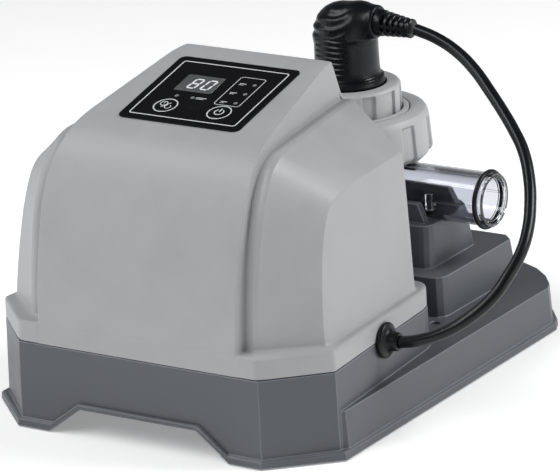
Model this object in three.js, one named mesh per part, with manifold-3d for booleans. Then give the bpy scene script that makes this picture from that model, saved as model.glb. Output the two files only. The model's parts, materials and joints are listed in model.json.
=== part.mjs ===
// Salt chlorine generator for a pool: a mains-powered controller on a long base, with a clear
// flow cell standing behind it. Millimetres, +Z up. The front of the controller faces -Y, and
// the two hose ports face +X and -X. Y is measured from the seam at the front of the cover
// while the parts are made, and the whole group is then moved so that its origin lies under
// the middle of the base, on the floor.

import * as THREE from 'three';
import { mergeVertices } from 'three/addons/utils/BufferGeometryUtils.js';
import Module from 'manifold-3d';

const wasm = await Module();
wasm.setup();

// ---------------------------------------------------------------- driving dimensions

const WALL = 3;                 // moulded wall thickness
const GAP = 0.3;                // running gap between pieces that meet

// Base: an eight-sided box under the cover, and a low platform that runs back from it.
const FRONT_HALF = 100;         // half width of the front face
const SIDE_HALF = 138.8;        // half width behind the front chamfers
const CHAMFER_Y = 38.2;         // where the front chamfers end
const BODY_REAR = 190;          // rear wall of the body
const REAR_SIDE_HALF = 127.3;   // half width at the rear, because the sides taper
const REAR_SIDE_Y = 180;
const SEAM_Z = 63;              // joint between base and cover
const FLOOR_Z = 22;             // underside of the electronics tray
const PLATFORM_Z = 33.4;
const PLATFORM_HALF = 141.6;
const PLATFORM_SIDE_Y = 326;
const PLATFORM_REAR = 371;
const PLATFORM_REAR_HALF = 98;
const LIP_OUT = 4.9;            // the lip stands out of the skirt by this much at the front
const LIP_TOP = 6.5;
const FOOT_DROP = 0.8;          // the rubber feet reach below the lip
const LOW_STEP_Z = 62.6;        // top of the lower block under the cell
const HIGH_STEP_Z = 93.5;       // top of the upper block
const STEP_REAR_CUT = 8;        // cut across the rear corners of both blocks
const SADDLE_Z = 107.6;         // top of the two walls that hold the ports
const ARCH_TOP = 20.4;          // height of the arch in the front wall
const FIXING_X = 105.5;         // holes for screwing the base down
const FIXING_Y = 225;
const FIXING_R = 4;
const BOSS_TOP = 44;            // screw bosses in the tray end at this height
const LIP_REAR = PLATFORM_REAR + 6.1;
const MID_Y = (LIP_REAR - LIP_OUT) / 2;

// Cover: a proud centre band, and a lower wing on each side of it.
const BAND_HALF = 83;           // half width of the band on the front wall
const BAND_TAPER = 0.142;       // the band narrows by this much for each millimetre of depth
const BAND_TAPER_FROM = 20;
const RIM_TOP = 78;
const STRIP = 12;               // flat strip between the band and the sloping face of a wing
const TOP_SLOPE = 0.2395;       // rise of the top face towards the rear
const PANEL_Y = 108.7;          // centre of the control panel
const PANEL_Z = 225.5;
const PANEL_W = 101;
const PANEL_L = 87.8;
const PANEL_R = 5;
const BUTTON_R = 7.9;

// Flow cell: its axis stands behind the body, and the ports cross it.
const CELL_Y = 288.7;
const PORT_Z = 109.4;
const PORT_R = 19.85;
const BORE_R = 16.1;
const PORT_END = 121;           // distance from the cell axis to the end of each port
const RING_X = 115.9;
const CUP_R = 50;
const CUP_Z = 120;
const BOWL_R = 35;

// Sides of round pieces.
const ROUND = 24;
const SMALL_ROUND = 10;

// Cable from the controller to the cell.
const CORD_R = 4.35;
const GROMMET_Y = 110.6;
const GROMMET_Z = 62;
const GLAND_X = -70;
const GLAND_Z = 46;
const OUTLET_Z = 235.5;         // height of the plug's side outlet at the cell axis
const OUTLET_DIP = 0.07;        // the outlet dips by this angle

// ---------------------------------------------------------------- finishes

function finish(color, roughness, metalness = 0) {
  return new THREE.MeshStandardMaterial({ color, roughness, metalness });
}

const COVER_GREY = finish(0xb4b7b9, 0.5);
const BASE_GREY = finish(0x5b5f63, 0.55);
const COLLAR_GREY = finish(0xb0b3b5, 0.5);
const BLACK = finish(0x1c2022, 0.45);
const GLOSS_BLACK = finish(0x0b0c0e, 0.12);
const RUBBER = finish(0x151719, 0.7);
const WHITE = finish(0xe9ebec, 0.4);
const STEEL = finish(0xb9bcc0, 0.3, 1);
const TITANIUM = finish(0x6f6a68, 0.45, 1);
const BOARD_GREEN = finish(0x1f5b3a, 0.5);
const COPPER = finish(0xb5763f, 0.4, 1);
const SMOKE = finish(0x2a2b2c, 0.1);
const CLEAR = new THREE.MeshStandardMaterial({
  color: 0xc9d3dc, roughness: 0.05, transparent: true, opacity: 0.35,
});

// ---------------------------------------------------------------- shape helpers

/** A closed mesh through rows of points: every row is one closed loop, with equal counts. */
function loft(rows) {
  const count = rows[0].length;
  const position = rows.flat(2);
  const index = [];
  for (let r = 0; r + 1 < rows.length; r++) {
    for (let i = 0; i < count; i++) {
      const a = r * count + i;
      const b = r * count + (i + 1) % count;
      index.push(a, b, b + count, a, b + count, a + count);
    }
  }
  const last = (rows.length - 1) * count;
  for (const [a, b, c] of capTriangles(rows[0])) index.push(a, c, b);
  for (const [a, b, c] of capTriangles(rows.at(-1))) index.push(last + a, last + b, last + c);
  const geometry = new THREE.BufferGeometry();
  geometry.setAttribute('position', new THREE.Float32BufferAttribute(position, 3));
  geometry.setIndex(index);
  return geometry;
}

/** Triangles of a nearly flat loop, turning the same way as the loop. */
function capTriangles(loop) {
  const points = loop.map((p) => new THREE.Vector3(...p));
  const normal = new THREE.Vector3();
  points.forEach((p, i) => normal.add(p.clone().cross(points[(i + 1) % points.length])));
  const toFlat = new THREE.Quaternion().setFromUnitVectors(
    normal.normalize(), new THREE.Vector3(0, 0, 1));
  const flat = points.map((p) => p.applyQuaternion(toFlat));
  return THREE.ShapeUtils.triangulateShape(flat.map((p) => new THREE.Vector2(p.x, p.y)), []);
}

/** A stack of plan outlines, each [z, [[x, y], ...]], given from the bottom up. */
function stack(layers) {
  return loft(layers.map(([z, outline]) => outline.map(([x, y]) => [x, y, z])));
}

/** Mirrors a half outline with x > 0, front to rear, to a whole one, counter-clockwise. */
function mirrored(half) {
  return [...half, ...half.map(([x, y]) => [-x, y]).reverse()];
}

function box(width, depth, height, x, y, z) {
  return new THREE.BoxGeometry(width, depth, height).translate(x, y, z + height / 2);
}

function lathe(profile, segments = ROUND) {
  const points = profile.map(([r, z]) => new THREE.Vector2(r, z));
  return new THREE.LatheGeometry(points, segments).rotateX(Math.PI / 2);
}

/** An upright disc or pin, from height z0 to height z1. */
function post(radius, z0, z1, x = 0, y = 0, segments = SMALL_ROUND) {
  const pin = new THREE.CylinderGeometry(radius, radius, z1 - z0, segments);
  return pin.rotateX(Math.PI / 2).translate(x, y, (z0 + z1) / 2);
}

/** A flat plate with rounded corners, centred on x and y. */
function plate(width, length, radius, z0, z1, x = 0, y = 0) {
  const shape = new THREE.Shape();
  const w = width / 2;
  const l = length / 2;
  const corners = [[w - radius, l - radius, 0], [radius - w, l - radius, 1],
    [radius - w, radius - l, 2], [w - radius, radius - l, 3]];
  for (const [cx, cy, quarter] of corners) {
    const from = quarter * Math.PI / 2;
    shape.absarc(cx, cy, radius, from, from + Math.PI / 2, false);
  }
  const options = { depth: z1 - z0, bevelEnabled: false, curveSegments: 2 };
  return new THREE.ExtrudeGeometry(shape, options).translate(x, y, z0);
}

/** Extrudes an outline in Y and Z along X, centred on x. */
function barAlongX(outline, width, x = 0) {
  const shape = new THREE.Shape(outline.map(([y, z]) => new THREE.Vector2(y, z)));
  const bar = new THREE.ExtrudeGeometry(shape, { depth: width, bevelEnabled: false });
  const turn = new THREE.Matrix4().set(0, 0, 1, x - width / 2, 1, 0, 0, 0, 0, 1, 0, 0, 0, 0, 0, 1);
  return bar.applyMatrix4(turn);
}

/** Extrudes an outline in X and Z along Y, from y0 to y1. */
function barAlongY(outline, y0, y1) {
  const shape = new THREE.Shape(outline.map(([x, z]) => new THREE.Vector2(x, z)));
  const bar = new THREE.ExtrudeGeometry(shape, { depth: y1 - y0, bevelEnabled: false });
  return bar.rotateX(Math.PI / 2).translate(0, y1, 0);
}

/** A lathe whose axis lies along X. */
function latheAlongX(profile, segments = ROUND) {
  return lathe(profile, segments).rotateY(Math.PI / 2);
}

/** A round tube along hand-placed points. */
function tubeAlong(points, radius, sides, steps) {
  const curve = new THREE.CatmullRomCurve3(points.map((p) => new THREE.Vector3(...p)));
  const section = new THREE.Shape();
  for (let i = 0; i < sides; i++) {
    const angle = i / sides * Math.PI * 2;
    const place = [radius * Math.cos(angle), radius * Math.sin(angle)];
    if (i) section.lineTo(...place);
    else section.moveTo(...place);
  }
  return new THREE.ExtrudeGeometry(section, { steps, extrudePath: curve, bevelEnabled: false });
}

// ---------------------------------------------------------------- joining and cutting

function toSolid(geometry) {
  const bare = geometry.clone();
  bare.deleteAttribute('normal');
  bare.deleteAttribute('uv');
  const merged = mergeVertices(bare, 1e-4);
  return new wasm.Manifold(new wasm.Mesh({
    numProp: 3,
    vertProperties: new Float32Array(merged.attributes.position.array),
    triVerts: new Uint32Array(merged.index.array),
  }));
}

function toGeometry(solid) {
  const { vertProperties, triVerts } = solid.getMesh();
  const geometry = new THREE.BufferGeometry();
  geometry.setAttribute('position', new THREE.BufferAttribute(new Float32Array(vertProperties), 3));
  geometry.setIndex(new THREE.BufferAttribute(new Uint32Array(triVerts), 1));
  return geometry;
}

function join(...pieces) {
  return toGeometry(pieces.map(toSolid).reduce((a, b) => a.add(b)));
}

function cut(body, ...tools) {
  return toGeometry(tools.map(toSolid).reduce((a, b) => a.subtract(b), toSolid(body)));
}

// ---------------------------------------------------------------- the assembly

const generator = new THREE.Group();
generator.position.set(0, -MID_Y, 0);

/** The control panel's own frame: +Z stands out of the sloping top face. */
const panel = new THREE.Group();
panel.position.set(0, PANEL_Y, PANEL_Z);
panel.rotation.x = Math.atan(TOP_SLOPE);
generator.add(panel);

/** The flow cell's own frame: its origin is on the cell axis, at floor height. */
const cell = new THREE.Group();
cell.position.set(0, CELL_Y, 0);
generator.add(cell);

/** The grommet's own frame: +X stands out of the tapering side wall. */
const SIDE_TAPER = (SIDE_HALF - REAR_SIDE_HALF) / (REAR_SIDE_Y - CHAMFER_Y);
const grommetFrame = new THREE.Group();
grommetFrame.position.set(SIDE_HALF - (GROMMET_Y - CHAMFER_Y) * SIDE_TAPER, GROMMET_Y, GROMMET_Z);
grommetFrame.rotation.z = Math.atan(SIDE_TAPER);
generator.add(grommetFrame);

function add(parent, name, geometry, material) {
  const mesh = new THREE.Mesh(geometry, material);
  mesh.name = name;
  parent.add(mesh);
}

// ---------------------------------------------------------------- base

/** Plan of the body's wall, moved out by `out`. */
function bodyPlan(out) {
  return mirrored([
    [FRONT_HALF + out * 0.5, -out],
    [SIDE_HALF + out, CHAMFER_Y - out * 0.4],
    [REAR_SIDE_HALF + 0.5 + out, REAR_SIDE_Y - 6],
    [REAR_SIDE_HALF - 1.4 + out * 0.9, REAR_SIDE_Y + 2 + out * 0.3],
    [REAR_SIDE_HALF - 5.8 + out * 0.7, REAR_SIDE_Y + 7.2 + out * 0.7],
    [REAR_SIDE_HALF - 13 + out * 0.4, BODY_REAR + out],
  ]);
}

/** Plan of the platform's wall, moved out by `out`. */
function platformPlan(out) {
  return mirrored([
    [PLATFORM_HALF - 6 + out, CHAMFER_Y],
    [PLATFORM_HALF + out, CHAMFER_Y + 6],
    [PLATFORM_HALF + out, PLATFORM_SIDE_Y],
    [PLATFORM_HALF - 4 + out * 0.9, PLATFORM_SIDE_Y + 9 + out * 0.4],
    [PLATFORM_HALF - 15.5 + out * 0.75, PLATFORM_SIDE_Y + 23.5 + out * 0.6],
    [PLATFORM_REAR_HALF + 14 + out * 0.65, PLATFORM_REAR - 9.5 + out * 0.75],
    [PLATFORM_REAR_HALF - 2 + out * 0.4, PLATFORM_REAR - 1.5 + out],
    [PLATFORM_REAR_HALF - 12 + out * 0.3, PLATFORM_REAR + out],
  ]);
}

/** Plan of the lip that runs round the foot of the whole base. */
function lipPlan(out) {
  return mirrored([
    [FRONT_HALF + 2.2 + out * 0.5, -LIP_OUT - out],
    [PLATFORM_HALF + 4.6 + out, CHAMFER_Y - 2.5 - out * 0.4],
    [PLATFORM_HALF + 4.6 + out, PLATFORM_SIDE_Y + 2],
    [PLATFORM_HALF + 0.4 + out * 0.9, PLATFORM_SIDE_Y + 12 + out * 0.4],
    [PLATFORM_HALF - 11.4 + out * 0.75, PLATFORM_SIDE_Y + 27.3 + out * 0.6],
    [PLATFORM_REAR_HALF + 17.5 + out * 0.65, LIP_REAR - 9.8 + out * 0.75],
    [PLATFORM_REAR_HALF + out * 0.4, LIP_REAR - 1.5 + out],
    [PLATFORM_REAR_HALF - 11 + out * 0.3, LIP_REAR + out],
  ]);
}

/** Plan of a step under the cell: half width, front and rear, with rounded front corners. */
function stepPlan(half, front, rear, corner) {
  return mirrored([
    [half - corner, front],
    [half - corner * 0.5, front + corner * 0.13],
    [half - corner * 0.13, front + corner * 0.5],
    [half, front + corner],
    [half, rear - STEP_REAR_CUT],
    [half - STEP_REAR_CUT, rear],
  ]);
}

/** The two blocks that rise from the platform to hold the cell. */
function cellSupport(inset) {
  const lowStep = stack([
    [PLATFORM_Z - 2 - inset, stepPlan(106.2 - inset, 234.5 + inset, 350 - inset, 10)],
    [LOW_STEP_Z - inset, stepPlan(104.2 - inset, 236.6 + inset, 345 - inset, 10)],
  ]);
  const highStep = stack([
    [LOW_STEP_Z - 2 - inset, stepPlan(86 - inset, 250.5 + inset, 323 - inset, 8)],
    [HIGH_STEP_Z - inset, stepPlan(83.2 - inset, 255.6 + inset, 319.4 - inset, 8)],
  ]);
  return join(lowStep, highStep);
}

/** Two walls that stand on the upper block, in front of the ports and behind them. */
function saddle() {
  const foot = HIGH_STEP_Z - 1.5;
  const outline = [[-77.5, foot], [77.5, foot], [71, SADDLE_Z], [-71, SADDLE_Z]];
  const front = barAlongY(outline, 262.5, 268.2);
  const rear = barAlongY(outline, 309.2, 314.9);
  return join(front, rear);
}

const FEET = [[112, 44], [124, 316]].flatMap(([x, y]) => [[x, y], [-x, y]]);
const COVER_BOSSES = [[90, 26], [112, 162]].flatMap(([x, y]) => [[x, y], [-x, y]]);
const BOARD_POSTS = [[80, 70], [80, 160]].flatMap(([x, y]) => [[x, y], [-x, y]]);
const FIXING_HOLES = [[FIXING_X, FIXING_Y], [-FIXING_X, FIXING_Y]];
const HOUSING_SCREWS = [-58, 58];

/** The base moulding: walls, tray, platform and cell support in one open-bottomed piece. */
function baseShell() {
  const outside = join(
    stack([[FOOT_DROP, bodyPlan(1.6)], [SEAM_Z - 0.2, bodyPlan(0)]]),
    stack([[FOOT_DROP, platformPlan(2.2)], [PLATFORM_Z, platformPlan(0)]]),
    stack([[FOOT_DROP, lipPlan(0)], [LIP_TOP - 1.2, lipPlan(-0.4)], [LIP_TOP, lipPlan(-1.6)]]),
    cellSupport(0),
    saddle(),
  );
  const archLine = [[-78, -1], [78, -1], [49.1, ARCH_TOP], [-49.1, ARCH_TOP]];
  const arch = barAlongY(archLine, -20, WALL + 3);
  const underBody = stack([[-1, bodyPlan(-WALL + 1.6)], [FLOOR_Z, bodyPlan(-WALL + 1)]]);
  const underPlatform = cut(
    stack([[-1, platformPlan(-WALL + 2.2)], [PLATFORM_Z - WALL, platformPlan(-WALL + 0.4)]]),
    box(400, BODY_REAR + 3, 60, 0, BODY_REAR / 2 - 1, -5),
  );
  const tray = stack([
    [FLOOR_Z + WALL, bodyPlan(-WALL)],
    [SEAM_Z + 1, bodyPlan(-WALL)],
  ]);
  const portChannel = latheAlongX([[0, -90], [PORT_R + 0.6, -90], [PORT_R + 0.6, 90], [0, 90]]);
  portChannel.translate(0, CELL_Y, PORT_Z);
  const bowlRecess = post(BOWL_R + 1.2, 85, 130, 0, CELL_Y, ROUND);
  const lugRooms = HOUSING_SCREWS.map((x) => box(13, 13, 8, x, CELL_Y, 88.1));
  const holes = FIXING_HOLES.map(([x, y]) => post(FIXING_R, 20, 40, x, y, 16));
  const shell = cut(
    outside, arch, underBody, underPlatform, tray, cellSupport(WALL), portChannel, bowlRecess,
    ...holes, grommetHole(), mainsGlandHole(),
  );
  const bossShape = COVER_BOSSES.map(([x, y]) => post(5.5, FLOOR_Z + 1, BOSS_TOP, x, y));
  const boardShape = BOARD_POSTS.map(([x, y]) => post(3.5, FLOOR_Z + 1, 31.7, x, y, 8));
  const footShape = FEET.map(([x, y]) => post(10, 4, y > BODY_REAR ? 31 : 23, x, y));
  const housingBoss = HOUSING_SCREWS.map((x) => post(6, 74, 88, x, CELL_Y));
  const seat = cut(post(BOWL_R + 4, 82, 91.5, 0, CELL_Y, ROUND), bowlRecess);
  const channelSkin = cut(
    latheAlongX([[0, -84], [PORT_R + 3.6, -84], [PORT_R + 3.6, 84], [0, 84]]),
    box(400, 200, 80, 0, 0, HIGH_STEP_Z - PORT_Z),
  ).translate(0, CELL_Y, PORT_Z);
  const withBosses = join(shell, ...bossShape, ...boardShape, ...footShape,
    ...housingBoss, seat, channelSkin);
  const bossHoles = COVER_BOSSES.map(([x, y]) => post(2.4, 10, 50, x, y, 10));
  const housingHoles = HOUSING_SCREWS.map((x) => post(2.4, 70, 95, x, CELL_Y, 10));
  const footHoles = FEET.map(([x, y]) => post(4.3, 3, 12, x, y));
  return cut(withBosses, ...bossHoles, ...housingHoles, ...footHoles, ...lugRooms,
    bowlRecess, portChannel);
}

function rubberFoot() {
  return lathe([[0, 0], [8.4, 0], [9, 0.6], [9, 3.7], [4, 3.7], [4, 11], [0, 11]], SMALL_ROUND);
}

function panScrew(headRadius, shankRadius, headHeight, length) {
  return lathe([
    [0, -headHeight], [headRadius * 0.7, -headHeight], [headRadius, -headHeight * 0.4],
    [headRadius, 0], [shankRadius, 0], [shankRadius, length], [0, length + shankRadius],
  ], 10);
}

// ---------------------------------------------------------------- cover

function bandHalfAt(y) {
  return BAND_HALF - BAND_TAPER * Math.max(0, y - BAND_TAPER_FROM);
}

/** The band's side view, as y and z, from the foot of the front wall over the top. */
function bandProfile(inset) {
  const t = inset;
  const rearWall = BODY_REAR - 1 - t;
  return [
    [1.5 + t, SEAM_Z - 1], [1.8 + t, RIM_TOP], [2.6 + t, 101.6], [9.2 + t, 139], [15.5 + t, 163],
    [22 + t, 178 - t * 0.3], [31.5 + t * 0.8, 193 - t * 0.6], [43 + t * 0.6, 204.4 - t * 0.8],
    [55 + t * 0.4, 211.6 - t * 0.9], [70, 216.3 - t], [169.5, 240.1 - t],
    [172.5 - t * 0.6, 238.2 - t], [188 - t, 203], [rearWall, RIM_TOP], [rearWall, SEAM_Z - 1],
  ];
}

function centreBand(inset) {
  const profile = bandProfile(inset);
  const soften = 3;
  const row = (side, narrow, drop) => bandProfile(inset + drop).map(([y, z], i) => {
    const half = bandHalfAt(profile[i][0]) - inset - narrow;
    return [side * half, y, z];
  });
  return loft([row(1, 0, soften), row(1, soften, 0), row(-1, soften, 0), row(-1, 0, soften)]);
}

/** A wing's inner line beside the band, as y and z, and its outer crease, point for point. */
const WING_INNER = [
  [12, 62], [12.4, 88], [15.1, 116], [19.9, 151], [27.7, 173], [34.3, 185.5], [43, 195.5],
  [58, 204], [82, 208], [184, 208], [187, 120], [187, 62],
];
const WING_CREASE = [
  [129.5, 41, 62], [129, 41.4, 85], [127.3, 43.6, 112], [125.4, 49.5, 140], [124.4, 56, 160],
  [123.9, 61, 168], [123.7, 66, 172.5], [123.5, 76, 177], [123.5, 90, 179.6],
  [122.5, 163, 183.4], [123.5, 166, 120], [125, 168, 62],
];

function wings(inset) {
  const inner = (side) => WING_INNER.map(([y, z], i) => {
    const back = i > 8 ? -inset : inset;
    const half = bandHalfAt(y) + STRIP;
    return [side * half, y + back, z > 190 ? z - inset : z];
  });
  const outer = (side) => WING_CREASE.map(([x, y, z], i) => {
    const back = i > 8 ? -inset : inset;
    return [side * (x - inset), y + back, z > 175 ? z - inset : z];
  });
  return loft([outer(1), inner(1), inner(-1), outer(-1)]);
}

/** The rim: the band of wall that stands on the base all the way round. */
function coverRim(inset) {
  const ledge = 5.5;
  return stack([
    [SEAM_Z - (inset ? 2 : 0), bodyPlan(-inset)],
    [RIM_TOP - 3 - inset, bodyPlan(-0.6 - inset)],
    [RIM_TOP - inset, bodyPlan(-2.4 - inset)],
    [RIM_TOP + 4 - inset, bodyPlan(-2.4 - ledge - inset)],
  ]);
}

function placedAtGrommet(geometry) {
  grommetFrame.updateMatrix();
  return geometry.applyMatrix4(grommetFrame.matrix);
}

function grommetHole() {
  return placedAtGrommet(latheAlongX([[0, -12], [10, -12], [10, 8], [0, 8]], 20));
}

function placedOnPanel(geometry) {
  panel.updateMatrix();
  return geometry.applyMatrix4(panel.matrix);
}

function cover() {
  const outside = join(coverRim(0), centreBand(0), wings(0));
  const inside = join(coverRim(WALL), centreBand(WALL), wings(WALL));
  const recess = placedOnPanel(plate(PANEL_W + 0.6, PANEL_L + 0.6, PANEL_R, -1, 12));
  const window = placedOnPanel(plate(PANEL_W - 14, PANEL_L - 12, 3, -12, 5));
  const trimBelow = box(400, 400, 60, 0, 100, SEAM_Z - 60);
  const shell = cut(outside, inside, recess, window, trimBelow, grommetHole());
  const bosses = COVER_BOSSES.map(([x, y]) => coverBoss(x, y));
  const clips = [-1, 1].map((s) => placedOnPanel(box(3, 60, 9.5, s * 47, 0, -12)));
  return cut(join(shell, ...bosses, ...clips),
    placedOnPanel(plate(93, 77, 2, -12.4, -10)));
}

/** A screw boss with a web that ties it to the wall of the cover. */
function coverBoss(x, y) {
  const tube = post(5.2, BOSS_TOP + 2 * GAP, 96, x, y);
  const pilot = post(2.1, 40, 80, x, y, 8);
  const front = y < 100;
  const web = front ? box(4, 22, 24, x, y - 8, 72) : box(20, 4, 24, Math.sign(x) * 117, y, 72);
  return cut(join(tube, web), pilot);
}

/** The sealing strip in the seam, just inside the walls. */
function coverGasket() {
  const outer = stack([[58, bodyPlan(-WALL - 0.8)], [67, bodyPlan(-WALL - 0.8)]]);
  const inner = stack([[56, bodyPlan(-WALL - 3.6)], [70, bodyPlan(-WALL - 3.6)]]);
  const grommetRoom = latheAlongX([[0, -14], [13.4, -14], [13.4, 8], [0, 8]], 12);
  return cut(outer, inner, placedAtGrommet(grommetRoom));
}

// ---------------------------------------------------------------- control panel

const TIMER_AT = [-22.4, -22.8];
const POWER_AT = [22.4, -22.8];
const WINDOW = { w: 31.3, l: 22.2, x: -14.5, y: 10.3 };
const LIGHTS = {
  light_timer: [-22.1, -8.5], light_flow: [-8.7, -8.5],
  light_high: [27.1, 17.4], light_good: [27.1, 4.5], light_low: [27.1, -8.4],
};

function panelOverlay() {
  const sheet = plate(PANEL_W, PANEL_L, PANEL_R - 0.3, -0.7, 0.6);
  const holes = [TIMER_AT, POWER_AT].map(([x, y]) => post(BUTTON_R + GAP, -3, 3, x, y, ROUND));
  const lights = Object.values(LIGHTS).map(([x, y]) => post(1.9, -3, 3, x, y, 8));
  const window = plate(WINDOW.w + 0.6, WINDOW.l + 0.6, 1.8, -3, 3, WINDOW.x, WINDOW.y);
  return cut(sheet, window, ...holes, ...lights);
}

function buttonCap() {
  return lathe([
    [0, -2], [2.5, -2], [2.5, -1.1], [BUTTON_R, -1.1], [BUTTON_R, 0.6],
    [BUTTON_R - 0.5, 0.9], [0, 0.9],
  ]);
}

function lightPipe() {
  return lathe([[0, -9.6], [1.6, -9.6], [1.6, 0.6], [0, 0.6]], 8);
}

add(panel, 'panel_overlay', panelOverlay(), GLOSS_BLACK);
add(panel, 'display_window', plate(WINDOW.w, WINDOW.l, 1.5, -0.7, 0.6, WINDOW.x, WINDOW.y), SMOKE);
add(panel, 'display_module', box(28, 19, 8, WINDOW.x, WINDOW.y, -9.7), BLACK);
add(panel, 'display_board', plate(92.4, 76.4, 2, -12, -10.4), BOARD_GREEN);
add(panel, 'timer_button', buttonCap().translate(...TIMER_AT, 0), GLOSS_BLACK);
add(panel, 'power_button', buttonCap().translate(...POWER_AT, 0), GLOSS_BLACK);
for (const [name, [x, y]] of [['timer_switch', TIMER_AT], ['power_switch', POWER_AT]]) {
  const can = join(box(6, 6, 5, x, y, -10), post(1.8, -6, -2.7, x, y, 8));
  add(panel, name, can, STEEL);
}
for (const [name, [x, y]] of Object.entries(LIGHTS)) {
  add(panel, name, lightPipe().translate(x, y, 0), WHITE);
}

// ---------------------------------------------------------------- body pieces

add(generator, 'base_shell', baseShell(), BASE_GREY);
add(generator, 'cover', cover(), COVER_GREY);
add(generator, 'cover_gasket', coverGasket(), RUBBER);
FEET.forEach(([x, y], i) => {
  add(generator, `foot_${i + 1}`, rubberFoot().translate(x, y, 0), RUBBER);
});
COVER_BOSSES.forEach(([x, y], i) => {
  const screw = panScrew(4.2, 1.9, 2.6, 48).translate(x, y, FLOOR_Z - GAP);
  add(generator, `cover_screw_${i + 1}`, screw, STEEL);
});

// ---------------------------------------------------------------- electronics in the tray

function powerBoard() {
  const holes = BOARD_POSTS.map(([x, y]) => post(1.6, 30, 36, x, y, 8));
  return cut(plate(176, 106, 3, 32, 33.6, 0, 115), ...holes);
}

function transformer() {
  return join(
    box(58, 50, 44, -44, 96, 33.9),
    box(44, 66, 26, -44, 96, 42),
  );
}

function heatSink() {
  const fins = [-20, -12, -4, 4, 12, 20].map((dx) => box(2.2, 34, 34, 44 + dx, 140, 38));
  return join(box(46, 34, 5, 44, 140, 33.9), ...fins);
}

function terminalBlock() {
  const wells = [-12, -4, 4, 12].map((dy) => post(2.4, 44, 60, 78, 100 + dy, 8));
  return cut(box(14, 34, 16, 78, 100, 33.9), ...wells);
}

/** The flat lead between the two boards: a strip folded once. */
function ribbonLead() {
  const outline = [
    [118, 34.4], [119, 34.4], [119, 120], [112, 190], [112, 213],
    [111, 213], [111, 190], [118, 120],
  ];
  return barAlongX(outline, 18, 4);
}

add(generator, 'power_board', powerBoard(), BOARD_GREEN);
add(generator, 'transformer', transformer(), BLACK);
add(generator, 'heat_sink', heatSink(), STEEL);
add(generator, 'terminal_block', terminalBlock(), WHITE);
add(generator, 'capacitor_1', post(11, 33.9, 68, 22, 84, 16), BLACK);
add(generator, 'capacitor_2', post(8, 33.9, 60, 48, 78, 16), BLACK);
add(generator, 'relay', box(28, 14, 17, -2, 148, 33.9), WHITE);
add(generator, 'ribbon_lead', ribbonLead(), WHITE);

// ---------------------------------------------------------------- cable entries

function mainsGlandHole() {
  return post(8, -10, 10, 0, 0, 16).rotateX(Math.PI / 2).translate(GLAND_X, BODY_REAR, GLAND_Z);
}

/** A screwed gland in the rear wall, with its free end facing +Y. */
function mainsGland() {
  const shape = lathe([
    [4.2, -14], [10.2, -14], [10.2, -3.6], [7.7, -3.6], [7.7, 1.4], [11.5, 1.4], [11.5, 7.6],
    [9.5, 8.6], [9.5, 15], [7.5, 17], [4.2, 17], [4.2, -14],
  ], 16);
  return shape.rotateX(-Math.PI / 2).translate(GLAND_X, BODY_REAR, GLAND_Z);
}

/** A stepped rubber grommet, clamped between the cover and the base. */
function cellGrommet() {
  return latheAlongX([
    [CORD_R + 0.3, -9.4], [12, -9.4], [12, -6], [9.7, -6], [9.7, 0.5], [12.8, 0.5],
    [12.8, 3], [11.8, 4], [7.6, 5], [6.2, 12.6], [CORD_R + 0.3, 12.6], [CORD_R + 0.3, -9.4],
  ], 20);
}

add(generator, 'mains_gland', mainsGland(), BLACK);
add(grommetFrame, 'cell_grommet', cellGrommet(), RUBBER);
add(generator, 'cell_wire', tubeAlong(
  [[122.6, GROMMET_Y - 0.8, 62], [112, 108, 61], [98, 104, 56], [88.5, 102, 48]], 3.6, 6, 6), BLACK);
add(generator, 'mains_wire', tubeAlong(
  [[GLAND_X, 175.4, GLAND_Z], [GLAND_X, 168, 52], [-50, 160, 80], [10, 142, 86], [50, 114, 74], [68, 97, 61],
    [76, 96, 54]], 3.2, 6, 16), BLACK);

// The cable's route, from the grommet's nose round to the plug's strain relief.
const CORD_ROUTE = [
  [146.2, 111.7, 62], [159, 113, 64.6], [178, 118.2, 71.8], [193, 126.6, 81.6],
  [204.5, 139, 93.4], [210.4, 153.6, 107], [212.4, 168.4, 119.6], [210, 182.6, 131.2],
  [204.2, 197, 143.6], [194.4, 213.6, 157.6], [180.4, 230.4, 171.6], [167.6, 241.4, 180.4],
  [152.6, 252.6, 189.6], [135.4, 264.2, 199.6], [117.2, 274.6, 210.8], [98, 282.6, 220.2],
  [78, 287.2, 227.2], [60.6, 288.7, 231.2],
];

add(generator, 'cell_lead', tubeAlong(CORD_ROUTE, CORD_R, 8, 34), BLACK);

// ---------------------------------------------------------------- flow cell

const PIN_CIRCLE = 11;
const PINS = [90, 210, 330].map((turn) => {
  const angle = THREE.MathUtils.degToRad(turn);
  return [PIN_CIRCLE * Math.cos(angle), PIN_CIRCLE * Math.sin(angle)];
});
const ELECTRODE_Y = [-12, -6, 0, 6, 12];
const PADDLE_X = 27;
const PADDLE_PIN_Z = 136;

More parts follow.
